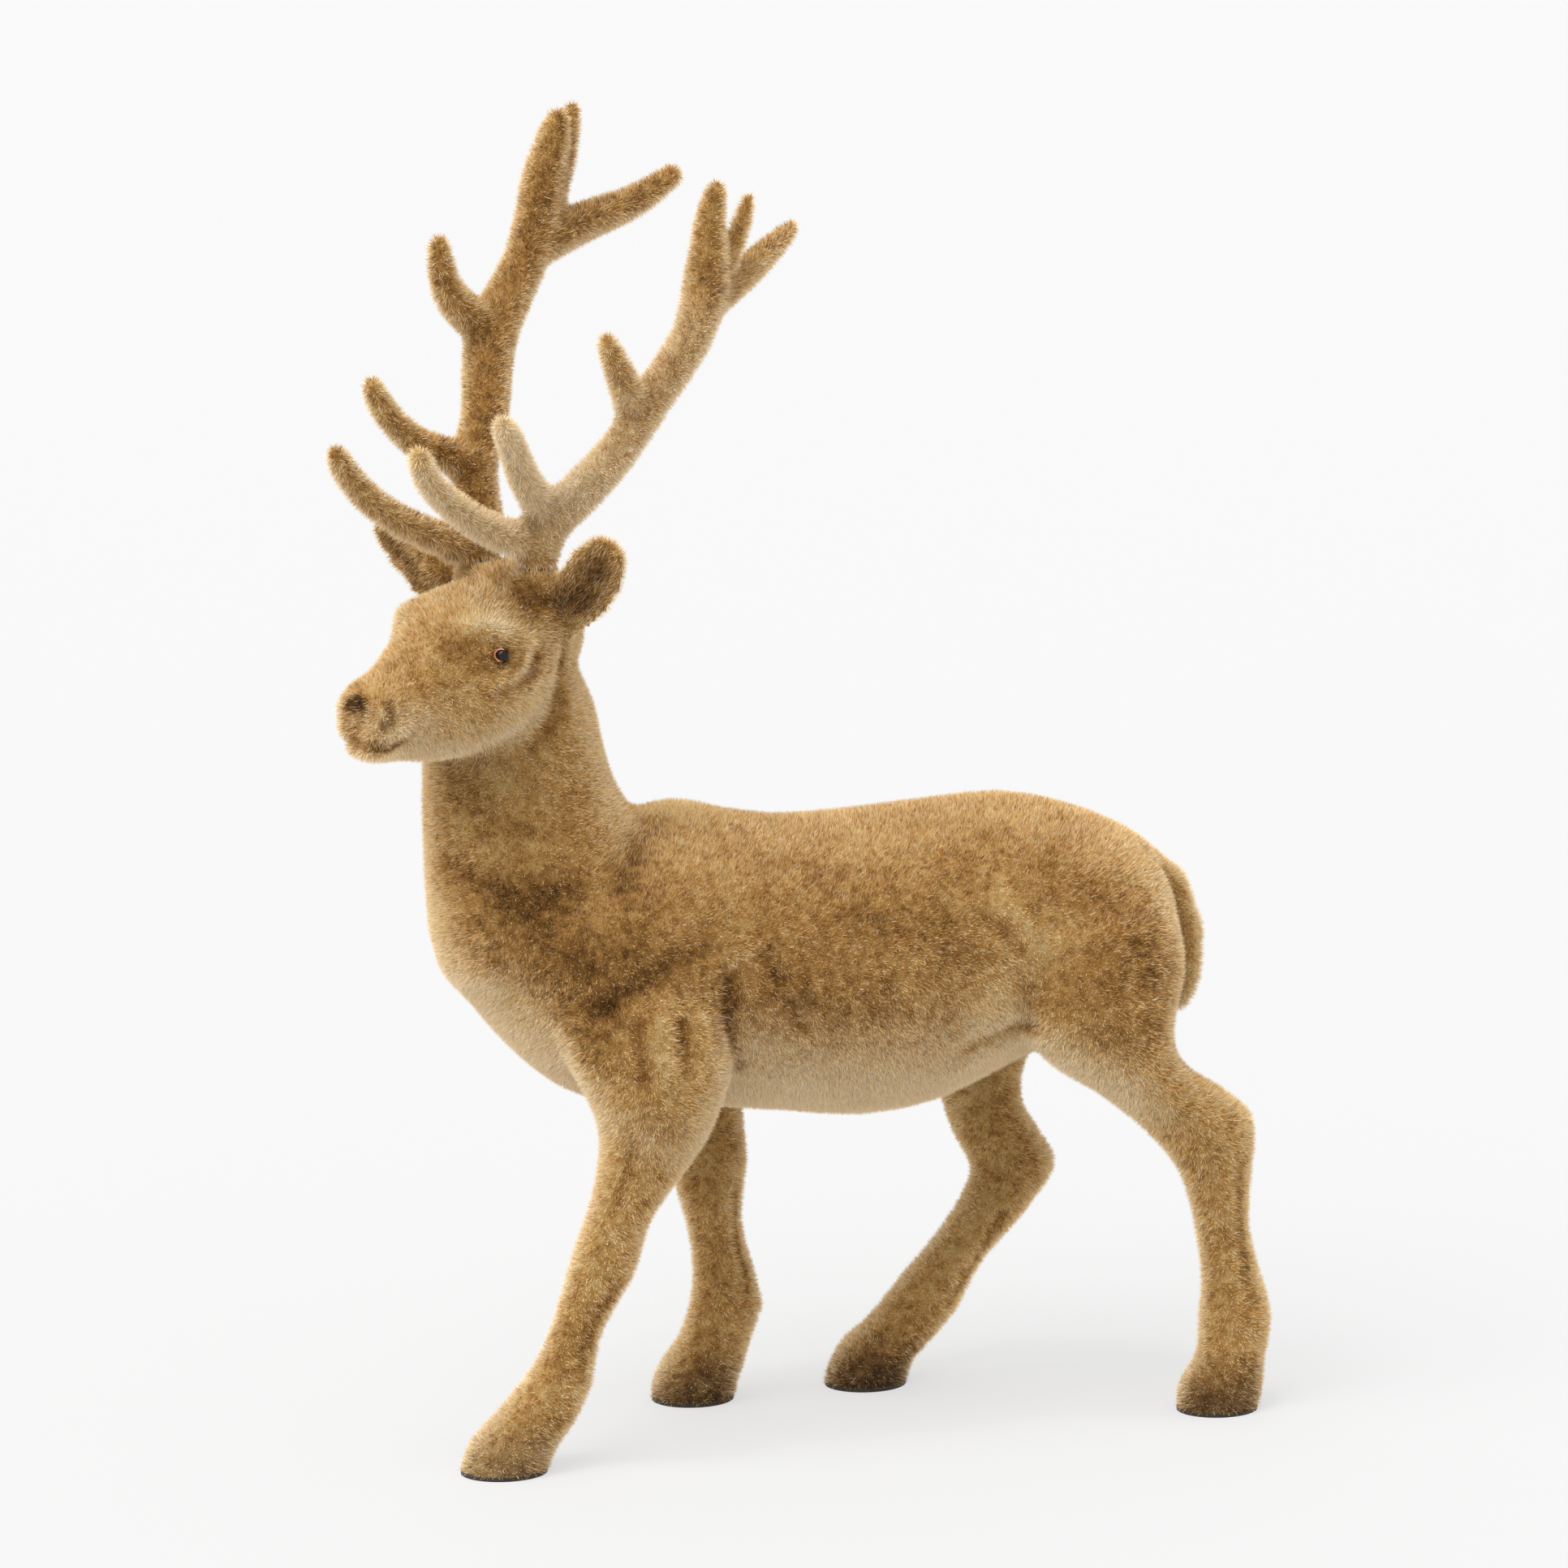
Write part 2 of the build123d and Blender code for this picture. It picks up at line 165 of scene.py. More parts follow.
def outer_island(points, quads):
    """Only the largest connected skin, without the walls of the cavities inside it."""
    label = np.arange(len(points))
    while True:
        lowest = label[quads].min(axis=1)
        new = label.copy()
        for corner in range(4):
            np.minimum.at(new, quads[:, corner], lowest)
        new = new[new]
        if np.array_equal(new, label):
            break
        label = new
    spans = {}
    for island in np.unique(label[quads[:, 0]]):
        members = points[label == island]
        spans[island] = np.ptp(members, axis=0).sum()
    keep = max(spans, key=spans.get)
    kept = label == keep
    place = np.cumsum(kept) - 1
    return points[kept], place[quads[kept[quads[:, 0]]]]


def edge_list(quads):
    pairs = np.vstack([quads[:, [side, (side + 1) % 4]] for side in range(4)])
    return np.unique(np.sort(pairs, axis=1), axis=0)


def relax(points, edges, weight, rounds):
    """Moves each point towards the middle of its neighbours, by its own weight, many times."""
    first, second = edges[:, 0], edges[:, 1]
    total = len(points)
    count = np.maximum(np.bincount(first, minlength=total) + np.bincount(second, minlength=total), 1)
    for _ in range(rounds):
        for axis in range(3):
            line = points[:, axis]
            around = np.bincount(first, line[second], total) + np.bincount(second, line[first], total)
            points[:, axis] = line + weight * (around / count - line)
    return points


def point_normals(points, quads):
    corners = points[quads]
    cross = np.cross(corners[:, 2] - corners[:, 0], corners[:, 3] - corners[:, 1])
    normals = np.zeros_like(points)
    for axis in range(3):
        for corner in range(4):
            normals[:, axis] += np.bincount(quads[:, corner], cross[:, axis], len(points))
    return normals / np.maximum(np.linalg.norm(normals, axis=1, keepdims=True), 1e-9)


def from_path(points, path):
    """Each point's distance to a path of straight runs, or to a single spot."""
    path = np.atleast_2d(np.asarray(path, float))
    if len(path) == 1:
        return np.linalg.norm(points - path[0], axis=1)
    nearest = np.full(len(points), FAR_AWAY)
    for start, end in zip(path, path[1:]):
        run = end - start
        along = np.clip((points - start) @ run / (run @ run), 0, 1)
        nearest = np.minimum(nearest, np.linalg.norm(points - start - along[:, None] * run, axis=1))
    return nearest


def near(points, path, reach):
    """1 on the path, falling smoothly to almost nothing at twice the reach."""
    return np.exp(-(from_path(points, path) / reach) ** 2)


def smoothstep(low_edge, high_edge, value):
    share = np.clip((value - low_edge) / (high_edge - low_edge), 0, 1)
    return share * share * (3 - 2 * share)


def noise(points, scale, seed):
    """Smooth random values from 0 to 1 that change over the given distance."""
    lattice = np.random.default_rng(seed).random((LATTICE, LATTICE, LATTICE))
    spot = points / scale + seed * LATTICE_STEP
    cell = np.floor(spot).astype(int)
    inside = smoothstep(0, 1, spot - cell)
    value = np.zeros(len(points))
    for corner in np.ndindex(2, 2, 2):
        share = np.abs(1 - np.array(corner) - inside).prod(axis=1)
        x, y, z = ((cell + corner) % LATTICE).T
        value += share * lattice[x, y, z]
    return value


# Materials -----------------------------------------------------------------------------------
PAINT = "flock_colour_and_shading"          # the skin's colour attribute, painted light and shade included
ROOT_COLOUR = (0.30, 0.17, 0.055)
ROOT_SPECKLE = 0.6              # millimetres
ROOT_STRENGTH = (0.5, 1.5)      # how much the speckle darkens and lightens the painted colour
RAMP_SPAN = (0.3, 0.7)          # the noise values that give the dark and the pale colour
GLOSS_SPREAD = 0.1              # how far roughness strays from its middle
LOWEST_ROUGHNESS = 0.02
RELIEF_DEPTH = 0.2              # share of the grain


def plain_material(name, colour, roughness, sheen=0.0, specular=0.5):
    """One even finish, for a single fibre or the floor."""
    material = bpy.data.materials.new(name)
    material.use_nodes = True
    shader = material.node_tree.nodes["Principled BSDF"]
    shader.inputs["Base Color"].default_value = (*colour, 1)
    shader.inputs["Roughness"].default_value = roughness
    shader.inputs["Specular IOR Level"].default_value = specular
    shader.inputs["Sheen Weight"].default_value = sheen
    return material


def mottled_material(name, dark, pale, grain, roughness, bump,
                     stretch=(1, 1, 1), sheen=0.0, specular=0.5):
    """A finish whose colour, roughness and relief follow one grain in millimetres, drawn out by stretch."""
    material = plain_material(name, dark, roughness, sheen, specular)
    nodes, links = material.node_tree.nodes, material.node_tree.links
    shader = nodes["Principled BSDF"]
    place = nodes.new("ShaderNodeTexCoord")
    mapping = nodes.new("ShaderNodeMapping")
    mapping.inputs["Scale"].default_value = [1 / (grain * MM * length) for length in stretch]
    speckle = nodes.new("ShaderNodeTexNoise")
    speckle.inputs["Scale"].default_value = 1.0
    speckle.inputs["Detail"].default_value = 5.0
    colours = nodes.new("ShaderNodeValToRGB")
    for element, position, colour in zip(colours.color_ramp.elements, RAMP_SPAN, (dark, pale)):
        element.position = position
        element.color = (*colour, 1)
    gloss = nodes.new("ShaderNodeMapRange")
    gloss.inputs["To Min"].default_value = max(roughness - GLOSS_SPREAD, LOWEST_ROUGHNESS)
    gloss.inputs["To Max"].default_value = min(roughness + GLOSS_SPREAD, 1.0)
    relief = nodes.new("ShaderNodeBump")
    relief.inputs["Strength"].default_value = bump
    relief.inputs["Distance"].default_value = RELIEF_DEPTH * grain * MM
    links.new(place.outputs["Object"], mapping.inputs["Vector"])
    links.new(mapping.outputs["Vector"], speckle.inputs["Vector"])
    links.new(speckle.outputs["Fac"], colours.inputs["Fac"])
    links.new(speckle.outputs["Fac"], gloss.inputs["Value"])
    links.new(speckle.outputs["Fac"], relief.inputs["Height"])
    links.new(colours.outputs["Color"], shader.inputs["Base Color"])
    links.new(gloss.outputs["Result"], shader.inputs["Roughness"])
    links.new(relief.outputs["Normal"], shader.inputs["Normal"])
    return material


def flock_roots():
    """The fibres' roots and the glue under them: each place's painted colour, painted light and shade
    included, under a fine speckle.
    """
    material = plain_material("flock_roots", ROOT_COLOUR, roughness=0.9, sheen=0.2, specular=0.1)
    nodes, links = material.node_tree.nodes, material.node_tree.links
    place = nodes.new("ShaderNodeTexCoord")
    speckle = nodes.new("ShaderNodeTexNoise")
    speckle.inputs["Scale"].default_value = 1 / (ROOT_SPECKLE * MM)
    speckle.inputs["Detail"].default_value = 3.0
    strength = nodes.new("ShaderNodeMapRange")
    strength.inputs["To Min"].default_value = ROOT_STRENGTH[0]
    strength.inputs["To Max"].default_value = ROOT_STRENGTH[1]
    paint = nodes.new("ShaderNodeAttribute")
    paint.attribute_name = PAINT
    product = nodes.new("ShaderNodeVectorMath")
    product.operation = "MULTIPLY"
    links.new(place.outputs["Object"], speckle.inputs["Vector"])
    links.new(speckle.outputs["Fac"], strength.inputs["Value"])
    links.new(paint.outputs["Color"], product.inputs[0])
    links.new(strength.outputs["Result"], product.inputs[1])
    links.new(product.outputs["Vector"], nodes["Principled BSDF"].inputs["Base Color"])
    return material


def drawn_steel():
    steel = mottled_material("drawn_steel", (0.42, 0.42, 0.43), (0.62, 0.62, 0.63),
                             grain=0.5, roughness=0.35, bump=0.15, stretch=(1, 1, 30))
    steel.node_tree.nodes["Principled BSDF"].inputs["Metallic"].default_value = 1.0
    return steel


def softwood():
    return mottled_material("softwood", (0.48, 0.30, 0.15), (0.74, 0.55, 0.34),
                            grain=1.6, roughness=0.7, bump=0.35, stretch=(1, 12, 1), specular=0.3)


def pressed_felt():
    return mottled_material("pressed_felt", (0.018, 0.014, 0.012), (0.060, 0.048, 0.040),
                            grain=0.5, roughness=0.9, bump=0.8, sheen=0.2, specular=0.1)


def moulded_plastic():
    return mottled_material("moulded_plastic", (0.050, 0.040, 0.032), (0.085, 0.070, 0.055),
                            grain=0.8, roughness=0.5, bump=0.1, specular=0.4)


def eye_glass():
    """Near-black glass with a trace of brown deep in it, under a clear polish."""
    glass = mottled_material("eye_glass", (0.006, 0.004, 0.003), (0.020, 0.010, 0.006),
                             grain=4.0, roughness=0.12, bump=0.0, specular=0.2)
    shader = glass.node_tree.nodes["Principled BSDF"]
    shader.inputs["Coat Weight"].default_value = 0.1
    shader.inputs["Coat Roughness"].default_value = 0.03
    return glass


def rim_enamel():
    return mottled_material("rim_enamel", (0.50, 0.13, 0.06), (0.78, 0.32, 0.19),
                            grain=1.5, roughness=0.35, bump=0.1)


def dress(words, material):
    """Gives a finish to every CAD node whose name has one of the words in it."""
    for name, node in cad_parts.items():
        if any(word in name for word in words):
            node.data.materials.clear()
            node.data.materials.append(material)


# Sculpting -----------------------------------------------------------------------------------
FIGURE_VOXEL = 1.2
ANTLER_VOXEL = 1.1
STEP = 0.5                      # how far one round of smoothing goes
LONG_STEP = 0.6
FIGURE_ROUNDS = 6
ANTLER_ROUNDS = 12
ANTLER_PILE = 1.7
EAR_REACH = 16.0
EAR_GROWTH = 1.35               # above 1, the thin ears swell instead of sinking
FLAT_SHARE = 0.4                # share of a flat end's span that stays quite flat
SOLE_END = (1.2, 4.0)           # the height of a flat end, and the span around it
PEDICLE_END = (PEDICLE_TOP, 3.0)
SOCKET_PLUG_RADIUS = 5.8
SOCKET_CUT = 2.0                # how deep the skin is opened over a socket
EYE_PLUG = (14.0, 24.6)         # from and to, to the side
EYE_PLUG_RADIUS = 3.5
FAR_EAR_RIDGE = [(4, 14, 303), (7, 36, 314)]
FAR_EAR_RIDGE_RADIUS = 7.5
JAW = [(10, 16, 262), (24, 12, 256)]
# Where the legs and the neck grow out of the trunk: rounds of smoothing, reach, path.
BODY_BLENDS = [
    (60, 30, [(34, -60, 156), (38, -52, 128)]),
    (60, 30, [(-34, -36, 154), (-36, -20, 122)]),
    (60, 32, [(34, 105, 170), (38, 116, 140)]),
    (60, 30, [(-34, 100, 170), (-36, 94, 130)]),
    (40, 44, [(0, -84, 196), (0, -94, 246)]),
    (40, 26, [(0, -50, 225)]),
]
# Each row is how far the skin swells (or, when negative, dips), how wide, and along which path.
BODY_FORMS = [
    (1.5, 15, [(52, -60, 158), (50, -52, 138)]),
    (-1.3, 4, [(48, -78, 166), (50, -63, 176), (51, -52, 182), (50, -38, 186)]),
    (-1.7, 2.6, [(54, -66, 161), (56, -66, 154), (57, -64, 142)]),
    (-1.8, 2.5, [(55, -50, 161), (56, -50, 152), (56, -49, 143)]),
    (0.9, 3, [(55, -58, 160), (57, -57, 150), (57, -56, 142)]),
    (0.9, 3.4, [(54, -42, 162), (54, -41, 152), (52, -38, 142)]),
    (-1.6, 3.8, [(50, -30, 175), (49, -31, 162), (46, -29, 149), (41, -25, 141)]),
    (-0.9, 2.6, [(49, -17, 182), (50, -13, 173)]),
    (-0.9, 2.4, [(50, -8, 164), (49, -3, 154)]),
    (-1.0, 3.2, [(41, 62, 141), (41, 72, 144), (42, 82, 148)]),
    (0.8, 5, [(34, 58, 130), (36, 74, 134), (38, 84, 140)]),
    (-1.0, 4, [(42, 82, 148), (45, 82, 157), (47, 77, 168)]),
    (-1.1, 2.6, [(44, 64, 190), (46, 71, 184), (47, 78, 176)]),
    (0.9, 5, [(42, 72, 193), (45, 80, 186), (48, 88, 178)]),
    (-1.5, 6, [(14, -124, 215), (28, -112, 206), (35, -100, 203), (37, -84, 206)]),
    (-0.9, 7, [(17, -120, 241), (25, -111, 231), (30, -100, 228)]),
    (-1.2, 5, [(12, -48, 226), (26, -57, 219), (38, -66, 206)]),
    (-1.0, 5, [(48, 60, 200), (50, 48, 190)]),
    (-2.6, 6, [(16, 139, 204), (16, 147, 190), (16, 149, 172), (15, 150, 156)]),
    (1.8, 6, [(0, 156, 190), (0, 161, 176)]),
    (2.6, 6, [(0, 161, 168), (0, 160, 156), (0, 156, 143)]),
    (2.6, 8, [(37, 96, 138), (38, 104, 134)]),
    (1.6, 13, [(0, -36, 205), (0, -36, 235)]),
]
LEG_FORMS = [
    (-1.0, 2.2, [(52, -68, 126), (50, -68, 108), (47, -74, 92)]),
    (-1.0, 2.0, [(44, -71, 66), (43, -80, 48), (43, -83, 38)]),
    (1.2, 4, [(35, -76, 28)]),
    (-1.2, 2.0, [(-27, -4, 78), (-26, -3, 58), (-26, 1, 42)]),
    (1.2, 4, [(-35, 7, 34)]),
    (-1.2, 2.2, [(48, 161, 92), (45, 163, 72), (44, 165, 52), (45, 168, 42)]),
    (1.2, 5, [(38, 168, 106)]),
    (-2.0, 9, [(38, 140, 138)]),
    (-1.6, 6, [(-36, 122, 95)]),
    (3.0, 7, [(-36, 121, 75)]),
    (2.4, 9, [(-35, 40, 16)]),
    (1.6, 9, [(-35, -32, 16)]),
    (1.0, 6, [(-35, -2, 12)]),
    (1.8, 9, [(35, -122, 14)]),
    (1.0, 6, [(35, -92, 10)]),
    (1.0, 6, [(36, 145, 12)]),
    (-1.2, 2.2, [(-27, 98, 62), (-27, 88, 44), (-26, 78, 30)]),
]
# The same for both sides of the head, in its own directions: (forward, to the side, height).
HEAD_FORMS = [
    (2.4, 8, [(40, 20, 303)]),
    (1.5, 4.0, [(46, 16, 301), (38, 21, 301), (29, 24, 299), (21, 26, 294)]),
    (-1.4, 5, [(50, 14, 292), (44, 20, 288)]),
    (1.5, 12, [(26, 24, 268)]),
    (-1.7, 2.8, [(38, 26, 279), (30, 27, 280), (23, 27, 284), (19, 27, 292)]),
    (0.9, 3.0, [(38, 26, 281.5), (32, 27, 282), (27, 27, 285), (24.5, 27, 292)]),
    (-2.4, 3.4, [(4, 25, 287), (4, 24, 275), (10, 22, 262), (16, 19, 256)]),
    (-1.5, 2.4, [(85, 3.2, 277)]),
    (1.2, 4.5, [(80, 10, 276)]),
    (-1.1, 1.8, [(80, 12, 280), (78.5, 13.5, 277), (79, 14, 273), (81, 12, 270)]),
    (-1.6, 1.3, [(85, 0, 265), (83, 6, 263), (78, 12, 262.5), (70, 15, 265)]),
    (1.0, 3.6, [(82, 4, 258.5), (76, 9, 259)]),
    (0.9, 4, [(80, 9, 268), (73, 13, 269)]),
    (-0.9, 6, [(8, 24, 306)]),
    (1.5, 5, [(4, 8, 313)]),
    (1.0, 4, [(14, 3, 313)]),
]


def along_head(path, side):
    """A path given in the head's own directions, on its left (1) or right (-1) side."""
    return np.array([head_point(ahead, out * side, height) for ahead, out, height in path])


def head_way(ahead, out, up, side):
    """A direction given in the head's own directions, on its left (1) or right (-1) side."""
    return FORWARD * ahead + LEFTWARD * side * out + UP * up


def shaped(points, quads, forms):
    """The skin moved in and out along its normals by all the given forms."""
    normals = point_normals(points, quads)
    amount = np.zeros(len(points))
    for swell, reach, path in forms:
        amount += swell * near(points, path, reach)
    return points + normals * amount[:, None]


def mirrored(forms):
    """The forms of the left side, on the right side too."""
    return forms + [(swell, reach, [(-x, y, z) for x, y, z in path]) for swell, reach, path in forms]


def ear_vectors(side):
    """An ear's root, the way it points, and the way its hollow faces."""
    ahead, out, height = EAR_ROOTS[side]
    root = head_point(ahead, out * side, height)
    way = head_way(*EAR_WAY, side)
    way /= np.linalg.norm(way)
    facing = head_way(*EAR_FACING, side)
    facing -= way * (facing @ way)
    return root, way, facing / np.linalg.norm(facing)


def ear_blade(side):
    """The path along the middle of an ear's thin part."""
    root, way, _ = ear_vectors(side)
    return [root + way * along for along in EAR_BLADE]


def sunk(points, quads, depth, flat_ends):
    """The skin moved inwards, except that a flat end (height, span around it) stays at its height."""
    move = -point_normals(points, quads) * depth
    for height, span in flat_ends:
        move[:, 2] *= smoothstep(span * FLAT_SHARE, span, np.abs(points[:, 2] - height))
    return points + move


def inside_sockets(spots):
    """True for spots in the top of the filled antler sockets."""
    found = np.zeros(len(spots), bool)
    for x, y in ANTLER_FEET.values():
        found |= np.hypot(spots[:, 0] - x, spots[:, 1] - y) < SOCKET_RADIUS
    return found & (spots[:, 2] > PEDICLE_TOP - SOCKET_CUT)


def figure_union():
    """The CAD shells of the figure and the plugs that close their holes, ready to be made one skin."""
    pieces = [mesh_arrays(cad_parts[name].data) for name in FIGURE_NODES]
    for x, y in ANTLER_FEET.values():
        pieces.append(plug((x, y, PEDICLE_TOP - SOCKET_DEPTH), (x, y, PEDICLE_TOP), SOCKET_PLUG_RADIUS))
    for side in (1, -1):
        inner, outer = along_head([(EYE[0], out, EYE[2]) for out in EYE_PLUG], side)
        pieces.append(plug(inner, outer, EYE_PLUG_RADIUS))
    pieces.append(plug(*along_head(FAR_EAR_RIDGE, -1), FAR_EAR_RIDGE_RADIUS))
    return pieces


def figure_skin():
    """The trunk, neck, head, ears, tail and legs as one sculpted skin."""
    points, quads = remeshed("figure", figure_union(), FIGURE_VOXEL)
    edges = edge_list(quads)
    points = relax(points, edges, STEP, FIGURE_ROUNDS)
    for rounds, reach, path in BODY_BLENDS:
        points = relax(points, edges, LONG_STEP * near(points, path, reach), rounds)
    for side in (1, -1):
        points = relax(points, edges, STEP * near(points, along_head(JAW, side), 12), 14)
        root, way, _ = ear_vectors(side)
        points = relax(points, edges, STEP * near(points, [root - way * 2, root + way * 5], 9), 12)
        points = relax(points, edges, STEP * near(points, ear_blade(side), EAR_REACH), 32)
    points = shaped(points, quads, mirrored(BODY_FORMS) + LEG_FORMS)
    points = shaped(points, quads, [(swell, reach, along_head(path, side))
                                    for side in (1, -1) for swell, reach, path in HEAD_FORMS])
    thin = np.clip(near(points, ear_blade(1), EAR_REACH) + near(points, ear_blade(-1), EAR_REACH), 0, 1)
    depth = PILE * (1 - EAR_GROWTH * thin)[:, None]
    points = sunk(points, quads, depth, [SOLE_END, PEDICLE_END])
    open_end = inside_sockets(points[quads].mean(axis=1))
    return points, quads[~open_end]


def antler_skin(side):
    """One antler, with its tines growing smoothly out of the beam."""
    x, y = ANTLER_FEET[side]
    foot, top = [(x, y, PEDICLE_TOP + height) for height in PEG_HOLE]
    pieces = [mesh_arrays(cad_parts["antler_" + side].data), plug(foot, top, PEG_HOLE_RADIUS)]
    points, quads = remeshed("antler", pieces, ANTLER_VOXEL)
    points = relax(points, edge_list(quads), STEP, ANTLER_ROUNDS)
    return sunk(points, quads, ANTLER_PILE, [PEDICLE_END]), quads


# Flock ---------------------------------------------------------------------------------------
# Plain tones, from the darkest to the palest, as linear colours.
GOLD_TONES = [(0.11, 0.048, 0.011), (0.23, 0.106, 0.025), (0.37, 0.180, 0.044), (0.51, 0.266, 0.070),
              (0.65, 0.365, 0.106), (0.77, 0.475, 0.160), (0.86, 0.60, 0.24), (0.93, 0.73, 0.38)]
GREY_TONES = [(0.11, 0.068, 0.033), (0.24, 0.155, 0.078), (0.40, 0.272, 0.145), (0.60, 0.44, 0.26)]
CREAM_TONES = [(0.50, 0.335, 0.170), (0.68, 0.50, 0.285), (0.82, 0.645, 0.40), (0.92, 0.77, 0.54)]
FIBRE_ROUGHNESS = 0.55
FIBRE_SPECULAR = 0.12
FIBRES_PER_MM2 = 5.2
FIBRE_LENGTH = 2.5
FIBRE_WIDTH = 0.27
WIDTH_SPREAD = (0.8, 1.2)       # shares of the fibre width
SHORTEST, LONGEST = 0.6, 1.12   # shares of the fibre length
MIDDLE_LENGTH = (SHORTEST + LONGEST) / 2
EAR_LONGER = 0.10               # how much longer the fibres in the ears are
ROOT_DEPTH = 0.15               # how far inside the skin a fibre starts
FLOOR_GAP = 0.05                # how far above the floor a fibre's tip has to end
TONE_JITTER = 0.18              # how much one fibre's paleness differs from the next
ROOT_SHADE = 0.50               # how much darker the fibres' roots are
PALEST = 0.999                  # just inside the last tone
MOST_FIBRES = 180000            # in one piece
NORMAL_ROUNDS = 4               # of smoothing, for the way the fibres stand
# Soft leans of the pile: strength, distance over which it changes, and seeds for its three axes.
LEANS = [(0.28, 16, (11, 12, 13)), (0.20, 5, (14, 15, 16))]
STRAY = 0.20                    # how far each fibre leans by itself
SEAM_LEAN = 1.8
SEAM_REACH = 2.0                # around the pedicle
SEAM_SPAN = (3.5, 0.5)          # from the height where fibres begin to lean to where they lean most
EAR_HOLLOW = (8.0, 33.0)        # along the ear's way
EAR_HOLLOW_REACH = 7.0
HOLLOW_FACING = (0.3, 0.75)     # how squarely the skin has to face out of the hollow
BARE_BAND = 1.5                 # on each side of the flat end of an antler or its stump
FLAT_FACING = 0.8
EYE_CLEARING = 2.9


def flock_tones():
    """The finishes that fibres are given, in the order gold, grey, cream."""
    tones = []
    for family, colours in (("gold", GOLD_TONES), ("grey", GREY_TONES), ("cream", CREAM_TONES)):
        for index, colour in enumerate(colours):
            name = "flock_%s_%d" % (family, index + 1)
            tones.append(plain_material(name, colour, FIBRE_ROUGHNESS, specular=FIBRE_SPECULAR))
    return tones


def blend(corners, u, v):
    """The value inside each quad, u of the way along it and v of the way across."""
    foot = corners[:, 0] * (1 - u) + corners[:, 1] * u
    head = corners[:, 3] * (1 - u) + corners[:, 2] * u
    return foot * (1 - v) + head * v


def scatter(points, quads, rng):
    """Random spots on the skin, with their normals: each quad gets its share by area."""
    corners = points[quads]
    first, diagonal, last = (corners[:, corner] - corners[:, 0] for corner in (1, 2, 3))
    one = np.linalg.norm(np.cross(first, diagonal), axis=1) / 2
    two = np.linalg.norm(np.cross(diagonal, last), axis=1) / 2
    amount = rng.poisson((one + two) * FIBRES_PER_MM2)
    quad = np.repeat(np.arange(len(quads)), amount)
    u = rng.random(len(quad))[:, None]
    v = rng.random(len(quad))[:, None]
    smooth = relax(point_normals(points, quads), edge_list(quads), STEP, NORMAL_ROUNDS)
    normal = blend(smooth[quads[quad]], u, v)
    return blend(corners[quad], u, v), normal / np.linalg.norm(normal, axis=1, keepdims=True)


def over_seam(spots):
    """How strongly fibres lean up (or down) across the seam between an antler and its stump."""
    lean = np.zeros(len(spots))
    for x, y in ANTLER_FEET.values():
        beside = np.hypot(spots[:, 0] - x, spots[:, 1] - y) < PEDICLE_RADIUS + SEAM_REACH
        height = PEDICLE_TOP - spots[:, 2]
        lean += beside * np.sign(height) * smoothstep(*SEAM_SPAN, np.abs(height))
    return lean


def nap(spots, normal, rng):
    """Each fibre's direction: the pile leans in soft drifts, and every fibre strays a little."""
    lean = rng.normal(0, STRAY, spots.shape)
    for strength, distance, seeds in LEANS:
        lean += strength * (np.stack([noise(spots, distance, seed) for seed in seeds], 1) - 0.5)
    lean -= normal * (lean * normal).sum(1, keepdims=True)
    lean += np.outer(over_seam(spots), UP) * SEAM_LEAN
    way = normal + lean
    return way / np.linalg.norm(way, axis=1, keepdims=True)


def inside_ears(spots, normal):
    """1 in the hollow of an ear, 0 away from it."""
    share = np.zeros(len(spots))
    for side in (1, -1):
        root, way, facing = ear_vectors(side)
        hollow = near(spots, [root + way * along for along in EAR_HOLLOW], EAR_HOLLOW_REACH)
        share += hollow * smoothstep(*HOLLOW_FACING, normal @ facing)
    return np.clip(share, 0, 1)


# Where the flock is darker or paler than elsewhere: (change, reach, path), on both sides of the body.
# These are partly painted light and shade, partly the flock's own darker and paler patches.
BODY_SHADES = [
    (-0.20, 24, [(52, -80, 175), (46, -98, 190)]),
    (0.10, 24, [(18, -104, 212), (16, -100, 250)]),
    (0.10, 20, [(16, -128, 176), (22, -112, 152)]),
    (-0.05, 20, [(0, 110, 232)]),
    (-0.12, 20, [(50, -8, 158), (50, 46, 152)]),
    (-0.14, 22, [(48, 116, 176)]),
    (-0.10, 10, [(50, 60, 186), (50, 20, 192)]),
    (0.16, 9, [(44, 64, 150), (47, 78, 172), (45, 66, 188)]),
]
# The same for single places on the legs: painted shade darkens each hoof by its own amount, the left fore
# hoof least; the last row makes the left hind leg paler.
LEG_SHADE_AND_TONE = [
    (-0.16, 14, [(35, -106, 0)]),
    (-0.52, 18, [(-35, -15, 0)]),
    (-0.72, 20, [(-35, 52, 0)]),
    (-0.46, 17, [(36, 158, 0)]),
    (0.08, 20, [(38, 150, 110), (44, 160, 50)]),
]
# The same for both sides of the head: (forward, to the side, height).
HEAD_SHADES = [
    # The nose pad is darkened, partly as painted shade in the nostrils.
    (-0.66, 3.3, [(85.5, 0, 278.5), (85, 3.0, 277)]),
    # Painted shade in the philtrum, the nostril crease and the mouth line.
    (-0.50, 1.5, [(86, 1.5, 274), (86, 0.5, 266)]),
    (-0.35, 1.8, [(80, 12, 280), (78.5, 13.5, 277), (79, 14, 273), (81, 12, 270)]),
    (-1.20, 1.9, [(87, 0, 265), (85.5, 6, 263), (79, 13, 261.8), (73, 14.5, 263.5)]),
    # Painted shade around the eye and in the pocket by the pedicle.
    (-0.70, 3.6, [EYE]),
    (-0.24, 5.0, [(18, 19.5, 307), (9, 24, 306)]),
    # A painted highlight on the brow; the muzzle and forehead are paler.
    (0.08, 6, [(44, 18, 304), (34, 23, 302), (24, 26, 298)]),
    (0.10, 9, [(70, 12, 268)]),
    (0.10, 14, [(40, 10, 308)]),
]
UNDER_JAW = [(20, 10, 247), (46, 5, 252)]
UNDER_JAW_REACH = 10
